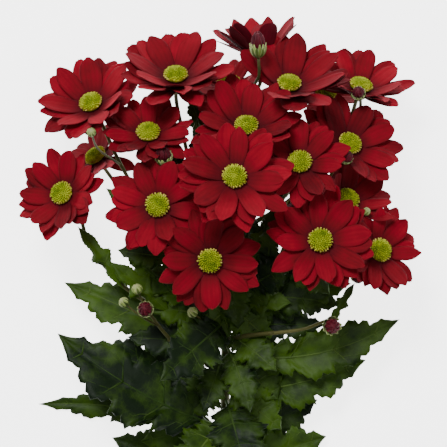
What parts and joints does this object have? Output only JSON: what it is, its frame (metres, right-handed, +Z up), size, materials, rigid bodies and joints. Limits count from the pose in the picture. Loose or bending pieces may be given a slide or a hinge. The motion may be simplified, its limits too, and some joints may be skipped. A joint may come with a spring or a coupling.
{
  "type": "chrysanthemum",
  "caption": "Cut spray chrysanthemum lying on its side: a branched leafy stem with red daisy-like blooms, green-yellow discs and small round buds.",
  "frame": {"origin": "centre of the bounding box's underside, on the surface that the spray lies on", "axes": "+Z up from the surface, +Y from the cut end of the stem towards the blooms, +X across the spray"},
  "size_m": [0.2706, 0.3942, 0.1323],
  "materials": {
    "petal": "velvety matte crimson",
    "disc": "matte yellow-green florets",
    "bud": "matte dark red",
    "leaf": "soft satin green",
    "stalk": "matte green"
  },
  "bodies": {
    "root": {"stem": "stalk", "bloom_01_petals": "petal", "bloom_01_disc": "disc", "bloom_02_petals": "petal", "bloom_02_disc": "disc", "bloom_03_petals": "petal", "bloom_03_disc": "disc", "bloom_04_petals": "petal", "bloom_04_disc": "disc", "bloom_05_petals": "petal", "bloom_05_disc": "disc", "bloom_06_petals": "petal", "bloom_06_disc": "disc", "bloom_07_petals": "petal", "bloom_07_disc": "disc", "bloom_08_petals": "petal", "bloom_08_disc": "disc", "bloom_09_petals": "petal", "bloom_09_disc": "disc", "bloom_10_petals": "petal", "bloom_10_disc": "disc", "bloom_11_petals": "petal", "bloom_11_disc": "disc", "bloom_12_petals": "petal", "bloom_12_disc": "disc", "bloom_13_petals": "petal", "bloom_13_disc": "disc", "bloom_14_petals": "petal", "bloom_14_disc": "disc", "bloom_15_petals": "petal", "bloom_15_disc": "disc", "bloom_16_petals": "petal", "bloom_16_disc": "disc", "bloom_17_petals": "petal", "bloom_17_disc": "disc", "bloom_18_petals": "petal", "bloom_18_disc": "disc", "bloom_19_petals": "petal", "bloom_19_disc": "disc", "bud_top": "bud", "bud_left_high": "bud", "bud_left_low": "bud", "bud_centre_right": "bud", "bud_right_edge": "bud", "bud_right_low": "bud", "bud_right_high": "bud", "bud_right_mid": "bud", "leaf_left_upper": "leaf", "leaf_left_broad": "leaf", "leaf_left_behind": "leaf", "leaf_left_low": "leaf", "leaf_left_base": "leaf", "leaf_right_upper": "leaf", "leaf_right_long": "leaf", "leaf_right_broad": "leaf", "leaf_right_low": "leaf", "leaf_right_base": "leaf", "leaf_front_left": "leaf", "leaf_front_base": "leaf", "leaf_front_low": "leaf"}
  },
  "joints": []
}
